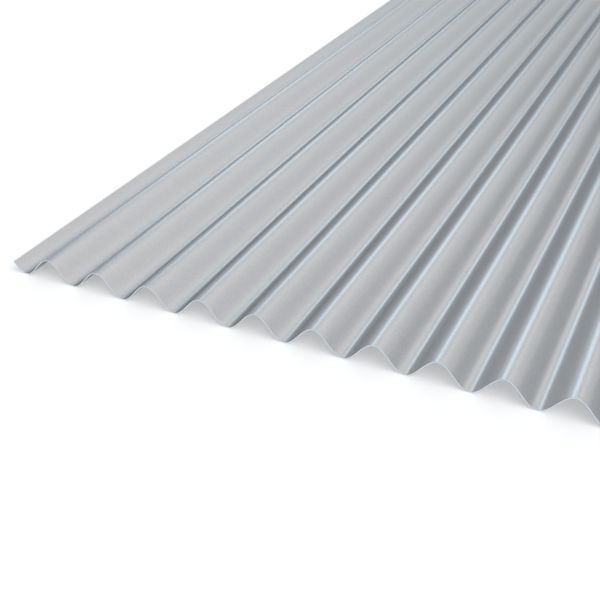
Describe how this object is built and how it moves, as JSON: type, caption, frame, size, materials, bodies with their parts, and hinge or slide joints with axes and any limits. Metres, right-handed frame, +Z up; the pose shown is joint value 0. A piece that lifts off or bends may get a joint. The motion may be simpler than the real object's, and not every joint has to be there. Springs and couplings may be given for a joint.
{
  "type": "corrugated metal sheet",
  "caption": "Roll-formed steel roofing and cladding sheet with deep round corrugations along its length, cut square at both ends, with a satin light-grey coating.",
  "frame": {"origin": "centre of the sheet in plan, at the level of the trough bottoms that it lies on", "axes": "+Y along the corrugations, +X across them towards the side edge that is turned down, +Z up, out of the open side of the valleys"},
  "size_m": [0.8392, 1.8, 0.0299],
  "materials": {
    "coated_steel": "satin"
  },
  "bodies": {
    "root": {"corrugated_sheet": "coated_steel"}
  },
  "joints": []
}
